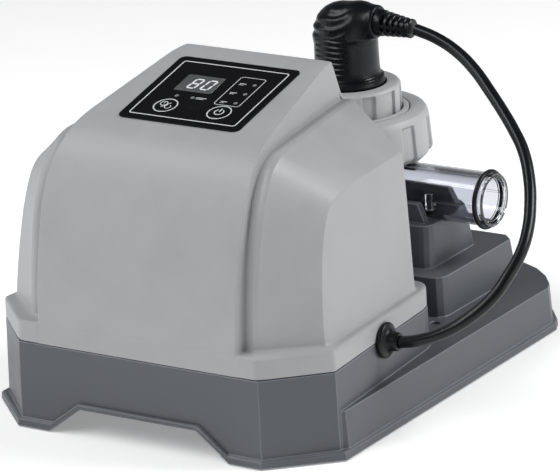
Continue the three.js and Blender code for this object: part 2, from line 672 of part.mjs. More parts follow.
/** The clear moulding: two ports, a bowl below them and a cup above them. */
function cellHousing() {
  const port = latheAlongX([
    [0, -PORT_END], [20.1, -PORT_END], [20.1, -118], [18.4, -118], [18.4, -113.8],
    [PORT_R, -113.8], [PORT_R, 113.8], [18.4, 113.8], [18.4, 118], [20.1, 118],
    [20.1, PORT_END], [0, PORT_END],
  ], ROUND).translate(0, 0, PORT_Z);
  const cup = lathe([
    [0, CUP_Z], [CUP_R - 2, CUP_Z], [CUP_R, CUP_Z + 2], [CUP_R, 139], [51.6, 140], [51.6, 141.5],
    [CUP_R, 142.5], [CUP_R, 150.6], [0, 150.6],
  ]);
  const bowl = lathe([[0, 86], [BOWL_R - 4, 86], [BOWL_R, 90], [BOWL_R, 123], [0, 123]]);
  const lugs = HOUSING_SCREWS.map((x) => box(12, 12, 4, x, 0, 88.4));
  const bore = latheAlongX([[0, -130], [BORE_R, -130], [BORE_R, 130], [0, 130]], 24);
  bore.translate(0, 0, PORT_Z);
  const cupInside = lathe([[0, 123.5], [45.5, 123.5], [45.5, 155], [0, 155]]);
  const bowlInside = lathe([[0, 89.5], [28, 89.5], [31.5, 92.5], [31.5, 126], [0, 126]]);
  const screwHoles = HOUSING_SCREWS.map((x) => post(1.9, 86, 91, x, 0, 8));
  return cut(join(port, cup, bowl, ...lugs), bore, cupInside, bowlInside, ...screwHoles);
}

function torus(ringRadius, cordRadius) {
  return new THREE.TorusGeometry(ringRadius, cordRadius, 6, ROUND);
}

/** The lid of the cell, with the socket for the plug on top and the paddle's ears below. */
function cellCap() {
  const body = lathe([
    [0, 141], [44.8, 141], [44.8, 143.4], [42.6, 143.4], [42.6, 147], [44.8, 147],
    [44.8, 151], [49.5, 151], [49.5, 157], [43.5, 157], [43.5, 161.7], [33, 161.7],
    [33, 175.5], [24.4, 175.5], [24.4, 160], [0, 160],
  ]);
  const pinHoles = PINS.map(([x, y]) => post(2.3, 150, 165, x, y, 8));
  const ears = [-9.6, 9.6].map((y) => box(4, 3, 9, PADDLE_X, y, PADDLE_PIN_Z - 3));
  const earHole = paddlePost(1.3, 15, 8);
  return cut(join(body, ...ears), ...pinHoles, earHole);
}

/** A pin along Y on the hinge line of the flow paddle. */
function paddlePost(radius, half, sides) {
  const pin = post(radius, -half, half, 0, 0, sides).rotateX(Math.PI / 2);
  return pin.translate(PADDLE_X, 0, PADDLE_PIN_Z);
}

/** A round grip ring: a turned wall with grooves cut down its outside. */
function gripRing(profile, grooves) {
  const ring = lathe(profile, 36);
  const tools = Array.from({ length: grooves.count }, (_, i) => {
    const angle = (i + 0.5) / grooves.count * Math.PI * 2;
    const tool = box(grooves.depth * 2, grooves.width, grooves.height, grooves.radius, 0, grooves.z);
    return tool.rotateZ(angle);
  });
  return cut(ring, ...tools);
}

function cellNut() {
  return gripRing([
    [52.4, 129.8], [55.4, 129.8], [60.4, 135.4], [58.5, 158], [57, 163.6], [55.7, 165],
    [44.8, 165], [44.8, 157.4], [52.4, 157.4], [52.4, 129.8],
  ], { count: 12, width: 8, depth: 3.2, radius: 60.5, z: 138, height: 30 });
}

function plugNut() {
  return gripRing([
    [33.5, 162.2], [38.8, 162.2], [38.6, 183], [37, 185], [25, 185], [25, 181.6],
    [33.5, 181.6], [33.5, 162.2],
  ], { count: 10, width: 4, depth: 2.2, radius: 39.6, z: 160, height: 22.5 });
}

/** The moulded plug: an upright barrel with its outlet on the side. */
function plugBody() {
  const turned = lathe([
    [0, 163.6], [23.6, 163.6], [23.6, 176.2], [29, 176.2], [29, 181.2], [24.5, 181.2],
    [24.5, 185.3], [27.6, 185.3], [27.6, 188.4], [25.4, 190.4], [24, 196], [23.3, 217],
    [22.2, 229], [20.4, 237.5], [16.5, 243], [9, 246], [0, 246.5],
  ]);
  const outlet = tipped(latheAlongX([[0, 0], [10.8, 0], [10.8, 27.4], [9.4, 29], [0, 29]], 20));
  const sockets = PINS.map(([x, y]) => post(2.4, 160, 175, x, y, 8));
  const reliefSocket = tipped(latheAlongX([[0, 20], [6.6, 20], [6.6, 32], [0, 32]], 16));
  return cut(join(turned, outlet), ...sockets, reliefSocket);
}

/** Puts a piece made along +X on the plug's outlet, which dips a little. */
function tipped(geometry) {
  return geometry.rotateY(OUTLET_DIP).translate(0, 0, OUTLET_Z);
}

/** The plug's tapered strain relief. */
function plugRelief() {
  return tipped(latheAlongX([
    [0, 20.4], [6.3, 20.4], [6.3, 29.3], [9.8, 29.3], [9.2, 36], [8, 46], [6.9, 58],
    [CORD_R + 0.3, 58], [CORD_R + 0.3, 50], [0, 50],
  ], 16));
}

/** A leaf that hangs in the stream and swings when water flows. */
function flowPaddle() {
  const leaf = box(1.4, 12, 26, PADDLE_X, 0, 108);
  return join(leaf, paddlePost(2.2, 6, 10), paddlePost(1, 10.8, 8));
}

/** The carrier that keeps the electrode plates apart. */
function plateHolder() {
  const slots = ELECTRODE_Y.map((y) => box(44.6, 1.6, 8, -1, y, 132.6));
  return cut(box(48, 30, 7, -1, 0, 133.7), ...slots);
}

add(cell, 'cell_housing', cellHousing(), CLEAR);
for (const [name, x] of [['port_ring_right', RING_X], ['port_ring_left', -RING_X]]) {
  add(cell, name, torus(20.4, 1.75).rotateY(Math.PI / 2).translate(x, 0, PORT_Z), RUBBER);
}
HOUSING_SCREWS.forEach((x, i) => {
  const screw = panScrew(4, 1.6, 2.4, 14).translate(x, 0, 74 - GAP);
  add(cell, `housing_screw_${i + 1}`, screw, STEEL);
});
add(cell, 'cell_cap', cellCap(), COLLAR_GREY);
add(cell, 'cell_seal', torus(44, 1.15).translate(0, 0, 145.2), RUBBER);
add(cell, 'cell_nut', cellNut(), COLLAR_GREY);
PINS.forEach(([x, y], i) => {
  add(cell, `terminal_pin_${i + 1}`, post(2, 150.3, 172, x, y, 8), COPPER);
});
ELECTRODE_Y.forEach((y, i) => {
  add(cell, `electrode_${i + 1}`, box(44, 1, 44, -1, y, 96.6), TITANIUM);
});
add(cell, 'plate_holder', plateHolder(), WHITE);
add(cell, 'flow_paddle', flowPaddle(), WHITE);

add(cell, 'plug_body', plugBody(), BLACK);
add(cell, 'plug_relief', plugRelief(), BLACK);
add(cell, 'plug_nut', plugNut(), COLLAR_GREY);

export default generator;
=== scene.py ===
import json
import math
import bmesh
import bpy
from mathutils import Matrix, Vector

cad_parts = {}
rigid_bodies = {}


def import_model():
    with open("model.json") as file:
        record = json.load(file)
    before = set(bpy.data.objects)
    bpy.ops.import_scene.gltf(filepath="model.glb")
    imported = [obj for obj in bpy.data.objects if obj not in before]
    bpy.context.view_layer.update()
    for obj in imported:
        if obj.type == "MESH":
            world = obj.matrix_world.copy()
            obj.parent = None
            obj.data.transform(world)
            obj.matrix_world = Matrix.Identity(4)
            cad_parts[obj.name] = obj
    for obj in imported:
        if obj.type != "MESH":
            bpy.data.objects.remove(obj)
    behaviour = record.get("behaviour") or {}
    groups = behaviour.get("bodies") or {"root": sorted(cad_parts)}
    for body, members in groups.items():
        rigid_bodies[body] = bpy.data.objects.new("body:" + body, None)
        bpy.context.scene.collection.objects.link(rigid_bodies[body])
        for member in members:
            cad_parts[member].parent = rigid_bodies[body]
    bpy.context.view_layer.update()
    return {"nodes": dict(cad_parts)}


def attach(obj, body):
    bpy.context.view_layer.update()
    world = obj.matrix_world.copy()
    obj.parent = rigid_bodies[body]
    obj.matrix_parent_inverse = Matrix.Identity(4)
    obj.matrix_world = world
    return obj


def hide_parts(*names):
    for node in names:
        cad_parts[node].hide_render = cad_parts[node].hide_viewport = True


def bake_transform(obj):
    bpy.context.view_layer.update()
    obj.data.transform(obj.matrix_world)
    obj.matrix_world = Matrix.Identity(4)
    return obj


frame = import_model()
nodes = frame["nodes"]
scene_objects = bpy.context.scene.collection.objects


# ---- Camera ---------------------------------------------------------------------------
# A long lens, 34 degrees round to the right of the front and 18 degrees up. The frame is
# tilted by three degrees.
view_turn = math.radians(33.62)
view_rise = math.radians(18.226)
view_tilt = math.radians(-3.097)
view_point = Vector((0.00442, -0.00497, 0.09885))
view_distance = 3.2621
lens_length = 291.4
backwards = Vector((
    math.sin(view_turn) * math.cos(view_rise),
    -math.cos(view_turn) * math.cos(view_rise),
    math.sin(view_rise),
))
level = Vector((math.cos(view_turn), math.sin(view_turn), 0))
upright = backwards.cross(level)
across = level * math.cos(view_tilt) + upright * math.sin(view_tilt)
above = upright * math.cos(view_tilt) - level * math.sin(view_tilt)
stand = Matrix((across, above, backwards)).transposed().to_4x4()
camera_data = bpy.data.cameras.new("camera")
camera_data.lens = lens_length
camera_data.sensor_width = 36
camera_data.sensor_fit = "HORIZONTAL"
camera_data.clip_end = 20
camera = bpy.data.objects.new("camera", camera_data)
camera.matrix_world = Matrix.Translation(view_point + backwards * view_distance) @ stand
scene_objects.link(camera)
bpy.context.scene.camera = camera


# ---- Cell lead ------------------------------------------------------------------------
# The lead from the control box to the electrode plug: a round rubber-sheathed cable,
# 8.7 mm thick and 360 mm long. A grommet in the side wall clamps it.
lead_route = [
    (146.2, 111.7, 62), (159, 113, 64.6), (178, 118.2, 71.8), (193, 126.6, 81.6),
    (204.5, 139, 93.4), (210.4, 153.6, 107), (212.4, 168.4, 119.6), (210, 182.6, 131.2),
    (204.2, 197, 143.6), (194.4, 213.6, 157.6), (180.4, 230.4, 171.6), (167.6, 241.4, 180.4),
    (152.6, 252.6, 189.6), (135.4, 264.2, 199.6), (117.2, 274.6, 210.8), (98, 282.6, 220.2),
    (78, 287.2, 227.2), (60.6, 288.7, 231.2),
]
lead_thickness = 8.7

# Pieces are drawn in millimetres from the front seam, then placed in the row's frame.
seam_to_middle = 0.1861
into_row = Matrix.Translation((0, -seam_to_middle, 0)) @ Matrix.Scale(0.001, 4)


def node(tree, kind, values=(), operation=None, data_type=None):
    """A shader node of one kind, with the values of its inputs."""
    made = tree.nodes.new("ShaderNode" + kind)
    if operation:
        made.operation = operation
    if data_type:
        made.data_type = data_type
    for socket, value in dict(values).items():
        made.inputs[socket].default_value = value
    return made


def wire(tree, *links):
    """Links outputs to inputs, each named after its node."""
    for source, out, target, into in links:
        tree.links.new(source.outputs[out], target.inputs[into])


def moulded_surface_group():
    """Fine moulded grain, soft mottling and a little settled dust."""
    group = bpy.data.node_groups.new("moulded_surface", "ShaderNodeTree")
    for label, kind, value in (
        ("Vector", "NodeSocketVector", None), ("Colour", "NodeSocketColor", None),
        ("Roughness", "NodeSocketFloat", 0.5), ("Grain", "NodeSocketFloat", 1800.0),
        ("Mottle", "NodeSocketFloat", 0.06), ("Dust", "NodeSocketFloat", 0.05),
    ):
        socket = group.interface.new_socket(label, in_out="INPUT", socket_type=kind)
        if value is not None:
            socket.default_value = value
    for label, kind in (("Colour", "NodeSocketColor"), ("Roughness", "NodeSocketFloat"),
                        ("Height", "NodeSocketFloat")):
        group.interface.new_socket(label, in_out="OUTPUT", socket_type=kind)
    given = group.nodes.new("NodeGroupInput")
    result = group.nodes.new("NodeGroupOutput")
    grain = node(group, "TexNoise", {"Detail": 3})
    cloud = node(group, "TexNoise", {"Scale": 38, "Detail": 5})
    both = node(group, "Math", {1: 0.5}, "MULTIPLY_ADD")
    spread = node(group, "MapRange", {"From Min": 0.45, "From Max": 1.05, "To Min": -1})
    amount = node(group, "Math", operation="MULTIPLY")
    bright = node(group, "Math", {1: 1}, "ADD")
    tone = node(group, "VectorMath", operation="SCALE")
    facing = node(group, "NewGeometry")
    axes = node(group, "SeparateXYZ")
    upward = node(group, "MapRange", {"From Min": 0.55})
    settled = node(group, "Math", operation="MULTIPLY")
    dust = node(group, "Math", operation="MULTIPLY")
    dusty = node(group, "Mix", {"B": (0.5, 0.5, 0.5, 1)}, data_type="RGBA")
    rough = node(group, "Math", {1: 1.6}, "MULTIPLY_ADD")
    wire(
        group,
        (given, "Vector", grain, "Vector"), (given, "Grain", grain, "Scale"),
        (given, "Vector", cloud, "Vector"),
        (grain, "Fac", both, 0), (cloud, "Fac", both, 2), (both, 0, spread, "Value"),
        (spread, "Result", amount, 0), (given, "Mottle", amount, 1), (amount, 0, bright, 0),
        (given, "Colour", tone, 0), (bright, 0, tone, "Scale"),
        (facing, "Normal", axes, 0), (axes, "Z", upward, "Value"),
        (upward, "Result", settled, 0), (cloud, "Fac", settled, 1),
        (settled, 0, dust, 0), (given, "Dust", dust, 1),
        (dust, 0, dusty, "Factor"), (tone, 0, dusty, "A"),
        (amount, 0, rough, 0), (given, "Roughness", rough, 2),
        (dusty, "Result", result, "Colour"), (rough, 0, result, "Roughness"),
        (grain, "Fac", result, "Height"),
    )
    return group


moulded_surface = moulded_surface_group()


def finish(name, colour, roughness, grain=1800, depth=0.05, mottle=0.06, dust=0.05,
           edge=0.0, **shine):
    """A moulded or turned finish with its own grain. Edge softens the edges' shading and
    paints a pale highlight along them.
    """
    material = bpy.data.materials.new(name)
    material.use_nodes = True
    tree = material.node_tree
    shader = tree.nodes["Principled BSDF"]
    place = node(tree, "TexCoord")
    surface = tree.nodes.new("ShaderNodeGroup")
    surface.node_tree = moulded_surface
    for socket, value in (("Colour", (*colour, 1)), ("Roughness", roughness),
                          ("Grain", grain), ("Mottle", mottle), ("Dust", dust)):
        surface.inputs[socket].default_value = value
    bump = node(tree, "Bump", {"Strength": depth, "Distance": 0.0004})
    wire(
        tree,
        (place, "Object", surface, "Vector"), (surface, "Colour", shader, "Base Color"),
        (surface, "Roughness", shader, "Roughness"), (surface, "Height", bump, "Height"),
        (bump, "Normal", shader, "Normal"),
    )
    if edge:
        soft = node(tree, "Bevel", {"Radius": edge / 1000})
        soft.samples = 8
        flat = node(tree, "NewGeometry")
        # Painted highlight: the colour is lightened along the edges, where the softened normal
        # turns away from the true one.
        bend = node(tree, "VectorMath", operation="DOT_PRODUCT")
        edge_highlight_mask = node(tree, "MapRange", {"From Min": 0.99, "From Max": 0.9, "To Max": 0.85})
        pale = (*(3.2 * part for part in colour), 1)
        painted_edge_highlight = node(tree, "Mix", {"B": pale}, data_type="RGBA")
        wire(
            tree,
            (soft, "Normal", bump, "Normal"), (soft, "Normal", bend, 0),
            (flat, "True Normal", bend, 1), (bend, "Value", edge_highlight_mask, "Value"),
            (edge_highlight_mask, "Result", painted_edge_highlight, "Factor"), (surface, "Colour", painted_edge_highlight, "A"),
            (painted_edge_highlight, "Result", shader, "Base Color"),
        )
    for socket, value in shine.items():
        shader.inputs[socket.replace("_", " ")].default_value = value
    return material


def settled_shape(worker, *tools):
    """A working object's shape with its modifiers applied. The objects are cleared away."""
    bpy.context.view_layer.update()
    graph = bpy.context.evaluated_depsgraph_get()
    mesh = bpy.data.meshes.new_from_object(worker.evaluated_get(graph))
    shape = bmesh.new()
    shape.from_mesh(mesh)
    for spent in (worker, *tools):
        bpy.data.objects.remove(spent)
    bpy.data.meshes.remove(mesh)
    return shape


def piece(name, shape, material, body="root", sharp=35, face_out=False):
    """Turns a shape in millimetres into a finished piece that moves with a body."""
    bmesh.ops.remove_doubles(shape, verts=shape.verts, dist=0.002)
    if face_out:
        bmesh.ops.recalc_face_normals(shape, faces=shape.faces)
    shape.transform(into_row)
    mesh = bpy.data.meshes.new(name)
    shape.to_mesh(mesh)
    shape.free()
    mesh.shade_smooth()
    mesh.set_sharp_from_angle(angle=math.radians(sharp))
    mesh.materials.append(material)
    made = bpy.data.objects.new(name, mesh)
    scene_objects.link(made)
    if body:
        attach(made, body)
    return made


sheath_rubber = finish("sheath_rubber", (0.005, 0.006, 0.007), 0.27, grain=2400, depth=0.01,
                       mottle=0.04, dust=0.0, Specular_IOR_Level=0.28)

lead_curve = bpy.data.curves.new("cell_lead_route", "CURVE")
lead_curve.dimensions = "3D"
lead_curve.bevel_depth = lead_thickness / 2
lead_curve.bevel_resolution = 6
lead_curve.resolution_u = 8
lead_curve.use_fill_caps = True
lead_line = lead_curve.splines.new("BEZIER")
lead_line.bezier_points.add(len(lead_route) - 1)
for knot, spot in zip(lead_line.bezier_points, lead_route):
    knot.co = spot
    knot.handle_left_type = knot.handle_right_type = "AUTO"
lead_holder = bpy.data.objects.new("lead_holder", lead_curve)
scene_objects.link(lead_holder)
cell_lead = piece("cell_lead_sheath", settled_shape(lead_holder), sheath_rubber,
                  body=None, face_out=True)
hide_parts("cell_lead")
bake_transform(cell_lead)


# ---- Electrode plug -------------------------------------------------------------------
# A right-angle plug moulded in black rubber. Its barrel lies across the top of a round
# stem, with ridges to hold it by, and seven thin grip ribs run across each side. The plug
# nut clamps its flange.
plug_black = finish("plug_black", (0.003, 0.0045, 0.006), 0.30, grain=1400, depth=0.10,
                    mottle=0.08, dust=0.0, Specular_IOR_Level=0.27)
cell_axis = Vector((0, 288.7, 0))


def shifted(shape, by):
    """Moves a shape along."""
    bmesh.ops.translate(shape, verts=shape.verts, vec=by)
    return shape


def swung(shape, angle, axis="Z"):
    """Turns a shape about an axis through the middle."""
    bmesh.ops.rotate(shape, cent=(0, 0, 0), verts=shape.verts,
                     matrix=Matrix.Rotation(angle, 3, axis))
    return shape


def swept(shape, angle, steps, closed=False):
    """Sweeps a line or a face about the upright axis."""
    bmesh.ops.spin(shape, geom=shape.verts[:] + shape.edges[:] + shape.faces[:],
                   cent=(0, 0, 0), axis=(0, 0, 1), dvec=(0, 0, 0), angle=angle,
                   steps=steps, use_merge=closed, use_duplicate=False)
    return shape


def turned(profile, steps=96, along="Z", centre=(0, 0, 0)):
    """Spins (radius, height) points about an upright axis, or about X."""
    shape = bmesh.new()
    line = [shape.verts.new((radius, 0, height)) for radius, height in profile]
    for pair in zip(line, line[1:]):
        shape.edges.new(pair)
    swept(shape, 2 * math.pi, steps, closed=True)
    bmesh.ops.remove_doubles(shape, verts=shape.verts, dist=0.001)
    bmesh.ops.dissolve_degenerate(shape, edges=shape.edges, dist=0.0005)
    bmesh.ops.recalc_face_normals(shape, faces=shape.faces)
    if along == "X":
        swung(shape, math.pi / 2, "Y")
    return shifted(shape, centre)


def together(first, *others):
    """Adds loose shapes to the first one."""
    for other in others:
        carrier = bpy.data.meshes.new("carrier")
        other.to_mesh(carrier)
        first.from_mesh(carrier)
        bpy.data.meshes.remove(carrier)
        other.free()
    return first


def as_object(shape):
    """A working object that holds a shape for the boolean and remesh modifiers."""
    mesh = bpy.data.meshes.new("working")
    shape.to_mesh(mesh)
    shape.free()
    worker = bpy.data.objects.new("working", mesh)
    scene_objects.link(worker)
    return worker


def carved(body, joined=(), cut=()):
    """Joins solids to a body, then cuts others out of it."""
    worker = as_object(body)
    tools = []
    for how, shapes in (("UNION", joined), ("DIFFERENCE", cut)):
        for shape in shapes:
            tool = as_object(shape)
            tool.hide_render = True
            step = worker.modifiers.new(how, "BOOLEAN")
            step.operation = how
            step.solver = "EXACT"
            step.object = tool
            tools.append(tool)
    return settled_shape(worker, *tools)


plug_stem = turned([
    (0, 190), (24.4, 190), (24, 196), (23.7, 206), (23.6, 216), (23.4, 219.4), (22.6, 221.8),
    (20.8, 223.4), (0, 224),
], steps=72)
plug_barrel = turned([
    (0, -23.6), (5, -23.4), (9.5, -22.4), (13.2, -20.6), (16.6, -18), (19.6, -14.4),
    (21.8, -10), (23.1, -5), (23.5, 0), (23.2, 4), (22.2, 8), (20.4, 12), (18, 15.6),
    (15.4, 19), (13.6, 22), (12.6, 24.6), (12.4, 27.4), (11.4, 29), (0, 29),
], steps=240, along="X")
groove_half = 3.5
barrel_height = 222.6
outlet_rise = 11
outlet_reach = 27
for point in plug_barrel.verts:
    height = point.co.z
    fade = min(1, max(0, (15 - point.co.x) / 6)) * min(1, max(0, (abs(point.co.y) - 4) / 6))
    dip = 0
    for groove_at, deep in ((17.2, 1.2), (10.2, 1.4), (3.2, 1.5)):
        away = (height - groove_at) / groove_half
        if abs(away) < 1:
            dip = deep * (0.5 + 0.5 * math.cos(math.pi * away))
    from_middle = Vector((min(point.co.x, 0), point.co.y, height))
    if from_middle.length > 1:
        point.co -= from_middle.normalized() * dip * fade
    share = min(1, max(0, point.co.x) / outlet_reach)
    point.co.z += barrel_height + outlet_rise * share * share * (3 - 2 * share)
plug_blank = as_object(together(plug_stem, plug_barrel))
fuse = plug_blank.modifiers.new("fuse", "REMESH")
fuse.mode = "VOXEL"
fuse.voxel_size = 0.5
plug_shape = settled_shape(plug_blank)
for _ in range(5):
    bmesh.ops.smooth_vert(plug_shape, verts=plug_shape.verts, factor=0.5,
                          use_axis_x=True, use_axis_y=True, use_axis_z=True)
plug_foot = turned([
    (0, 163.6), (23.6, 163.6), (23.6, 176.2), (29, 176.2), (29, 181.2), (24.5, 181.2),
    (24.5, 185.3), (27.4, 185.3), (27.8, 185.7), (27.8, 186.3), (26.9, 190.4), (26.6, 190.8),
    (26.1, 190.9), (25.2, 191.4), (24.7, 192.2), (24.3, 194), (24.1, 196), (0, 196),
    (0, 163.6),
])
grip_ribs = []
for rib in range(7):
    foot = 196.6 + rib * 4.1
    stem_wall = 23.3 - rib * 0.02
    section = ((stem_wall, foot - 0.5), (stem_wall + 1.5, foot - 0.3),
               (stem_wall + 1.5, foot), (stem_wall, foot + 1.3))
    front_rib = bmesh.new()
    front_rib.faces.new([front_rib.verts.new((reach, 0, rise)) for reach, rise in section])
    swung(front_rib, math.radians(-124))
    swept(front_rib, math.radians(68), 28)
    bmesh.ops.recalc_face_normals(front_rib, faces=front_rib.faces)
    grip_ribs += [front_rib, swung(front_rib.copy(), math.pi)]
plug_shape = shifted(together(plug_shape, plug_foot, *grip_ribs), cell_axis)
plug_body = piece("plug_moulding", plug_shape, plug_black, body="plug",
                  sharp=50)
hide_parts("plug_body")


# ---- Strain relief --------------------------------------------------------------------
# A slotted rubber boot on the plug's outlet. Rings joined by a web on each side let the
# lead bend without kinking at its end.
outlet_height = 235.5
outlet_dip = 0.07


def block(size, centre=(0, 0, 0)):
    """A plain box of a given size about a centre."""
    shape = bmesh.new()
    bmesh.ops.create_cube(shape, size=1)
    bmesh.ops.scale(shape, vec=size, verts=shape.verts)
    return shifted(shape, centre)


boot = turned([
    (0, 26), (9.2, 26), (9.8, 27), (9.9, 31), (9.6, 34.4), (9.2, 35), (6.2, 35), (6.2, 55),
    (7.0, 55.2), (7.2, 56), (7.1, 57.4), (6.4, 58), (0, 58), (0, 26),
], steps=48, along="X")
boot_parts = []
for ring in range(4):
    near = 37.6 + ring * 4.5
    wide = 9.1 - ring * 0.52
    boot_parts.append(turned([
        (5.4, near), (wide - 0.4, near), (wide, near + 0.4), (wide - 0.2, near + 1.9),
        (wide - 0.6, near + 2.3), (5.4, near + 2.3), (5.4, near),
    ], steps=48, along="X"))
for side in (-1, 1):
    web = block((22, 3.4, 2.8))
    for point in web.verts:
        if point.co.x > 0:
            point.co.y -= side
    bmesh.ops.bevel(web, geom=web.edges[:], offset=0.4, offset_type="OFFSET", segments=2,
                    profile=0.5, affect="EDGES", material=-1)
    boot_parts.append(shifted(web, (45, side * 7, 0)))
boot = swung(together(boot, *boot_parts), outlet_dip, "Y")
shifted(boot, cell_axis + Vector((0, 0, outlet_height)))
plug_relief = piece("plug_boot", boot, plug_black, body="plug")
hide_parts("plug_relief")


# ---- Plug nut -------------------------------------------------------------------------
# The upper collar, moulded in light grey plastic. It clamps the plug's flange to the cap,
# and twelve shallow pockets in its wall leave grips between them.
collar_grey = finish("collar_grey", (0.43, 0.44, 0.45), 0.46, grain=1600, depth=0.08,
                     mottle=0.035, dust=0.04)


def pocketed_collar(profile, lobes, pocket, depth, top, first):
    """A turned collar with shallow pockets that run down its wall and out at its foot."""
    shape = turned(profile, steps=lobes * 20)
    bore = min(radius for radius, height in profile if height < top)
    for point in shape.verts:
        radius = math.hypot(point.co.x, point.co.y)
        if point.co.z > top or radius < bore + 0.2:
            continue
        step = math.degrees(math.atan2(point.co.y, point.co.x)) - first
        off = abs((step + 180 / lobes) % (360 / lobes) - 180 / lobes)
        if off <= pocket / 2:
            kept = max(radius - depth, bore + 0.7) / radius
            point.co.x *= kept
            point.co.y *= kept
    return shape


plug_nut_shape = pocketed_collar([
    (33.5, 162.2), (38.6, 162.2), (39, 162.6), (38.9, 172), (38.8, 181.8), (38.7, 182.6),
    (38.4, 183.5), (37.6, 184.4), (36.6, 184.9), (35.4, 185), (28.6, 185), (28.6, 181.6),
    (33.5, 181.6), (33.5, 162.2),
], lobes=12, pocket=14.2, depth=2.2, top=182, first=-5)
plug_nut = piece("plug_collar", shifted(plug_nut_shape, cell_axis), collar_grey,
                 body="plug_nut")
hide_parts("plug_nut")


def rounded(target, width, segments=3, angle=30):
    """Rounds the moulded edges of a piece by a width in millimetres."""
    step = target.modifiers.new("rounded", "BEVEL")
    step.width = width / 1000
    step.segments = segments
    step.limit_method = "ANGLE"
    step.angle_limit = math.radians(angle)
    step.profile = 0.5


rounded(plug_nut, 0.45, 2)


# ---- Cell nut -------------------------------------------------------------------------
# The large lower collar, moulded in the same grey plastic. Its skirt widens downwards to a
# chamfered foot and is pocketed to leave twelve grips. It screws the cap to the housing.
cell_nut_shape = pocketed_collar([
    (52.4, 129.8), (54.6, 129.8), (55.4, 130.1), (60, 134.6), (60.3, 136), (59.4, 147),
    (58.6, 157), (58.4, 158.8), (58.1, 160.2), (57.4, 162.4), (55.9, 164.5), (53.4, 165.2),
    (45.4, 165.2), (44.8, 164.6), (44.8, 157.4), (52.4, 157.4), (52.4, 129.8),
], lobes=12, pocket=11, depth=2.2, top=159, first=-11)
cell_nut = piece("cell_collar", shifted(cell_nut_shape, cell_axis), collar_grey,
                 body="cell_nut")
rounded(cell_nut, 0.5, 2)
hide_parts("cell_nut")


# ---- Cell cap -------------------------------------------------------------------------
# The grey moulded disc that closes the cell. A thin lip on it stands between the collars,
# and its neck carries the plug's thread and the three terminal pins.
cell_cap_shape = turned([
    (0, 141), (44.8, 141), (44.8, 143.4), (42.6, 143.4), (42.6, 147), (44.8, 147),
    (44.8, 151), (49.5, 151), (49.5, 156.6), (49.1, 157), (44, 157), (44, 164.9),
    (43.8, 165.4), (43.3, 165.7), (40.4, 165.7), (40, 165.4), (40, 161.7), (33, 161.7),
    (33, 175.5), (24.4, 175.5), (24.4, 160), (0, 160), (0, 141),
])
cell_cap = piece("cell_lid", shifted(cell_cap_shape, cell_axis), collar_grey)
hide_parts("cell_cap")


# ---- Flow cell housing ----------------------------------------------------------------
# The housing is moulded in clear polycarbonate: a straight tube with hose ports at both
# ends, a bowl under it, a cup above it, and thin split lines along the tube.
tube_height = 109.4


def clear_finish():
    """Clear moulded plastic with a cool tint and faint flow marks."""
    material = bpy.data.materials.new("clear_polycarbonate")
    material.use_nodes = True
    tree = material.node_tree
    shader = tree.nodes["Principled BSDF"]
    shader.inputs["Transmission Weight"].default_value = 1
    shader.inputs["Metallic"].default_value = 0
    shader.inputs["IOR"].default_value = 1.45
    place = node(tree, "TexCoord")
    stretch = node(tree, "Mapping", {"Scale": (0.25, 1, 1)})
    marks = node(tree, "TexNoise", {"Scale": 60, "Detail": 3})
    tint = node(tree, "ValToRGB")
    tint.color_ramp.elements[0].color = (0.70, 0.72, 0.78, 1)
    tint.color_ramp.elements[1].color = (0.80, 0.81, 0.86, 1)
    rough = node(tree, "MapRange", {"To Min": 0.02, "To Max": 0.07})
    bump = node(tree, "Bump", {"Strength": 0.05, "Distance": 0.0006})
    wire(
        tree,
        (place, "Object", stretch, "Vector"), (stretch, "Vector", marks, "Vector"),
        (marks, "Fac", tint, "Fac"), (tint, "Color", shader, "Base Color"),
        (marks, "Fac", rough, "Value"), (rough, "Result", shader, "Roughness"),
        (marks, "Fac", bump, "Height"), (bump, "Normal", shader, "Normal"),
    )
    return material


clear_plastic = clear_finish()
tube_level = (0, 0, tube_height)
tube = turned([
    (0, -121), (19.6, -121), (20.1, -120.5), (20.1, -118.4), (19.8, -118), (18.4, -118),
    (18.4, -113.8), (19.5, -113.8), (19.85, -113.4), (19.85, 113.4), (19.5, 113.8),
    (18.4, 113.8), (18.4, 118), (19.8, 118), (20.1, 118.4), (20.1, 120.5), (19.6, 121),
    (0, 121),
], along="X", centre=tube_level)
cup = turned([
    (0, 120), (48, 120), (49.4, 120.6), (50, 122), (50, 139), (51.6, 140), (51.6, 141.5),
    (50, 142.5), (50, 150.6), (0, 150.6),
])
bowl = turned([(0, 86), (31, 86), (33.8, 87.2), (35, 90), (35, 123), (0, 123)])
split_bars = [block((232, 1.4, 1.6), (0, side * 20, tube_height)) for side in (-1, 1)]
clip_lug = block((5, 3, 12), (78, -20.4, tube_height - 1))
lug_reach = 58
lugs = [block((12, 12, 4), (side * lug_reach, 0, 90.4)) for side in (-1, 1)]
bore = turned([
    (0, -130), (17.2, -130), (17.2, -120.4), (16.1, -119.4), (16.1, 119.4), (17.2, 120.4),
    (17.2, 130), (0, 130),
], along="X", centre=tube_level)
cup_room = turned([(0, 123.5), (45.5, 123.5), (45.5, 155), (0, 155)])
bowl_room = turned([(0, 89.5), (28, 89.5), (31.5, 92.5), (31.5, 126), (0, 126)])
screw_rooms = [turned([(0, 86), (1.9, 86), (1.9, 95), (0, 95)], steps=24,
                      centre=(side * lug_reach, 0, 0)) for side in (-1, 1)]
housing_shape = carved(tube, joined=[cup, bowl, *split_bars, clip_lug, *lugs],
                       cut=[bore, cup_room, bowl_room, *screw_rooms])
cell_housing = piece("flow_housing", shifted(housing_shape, cell_axis), clear_plastic,
                     sharp=28)
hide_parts("cell_housing")


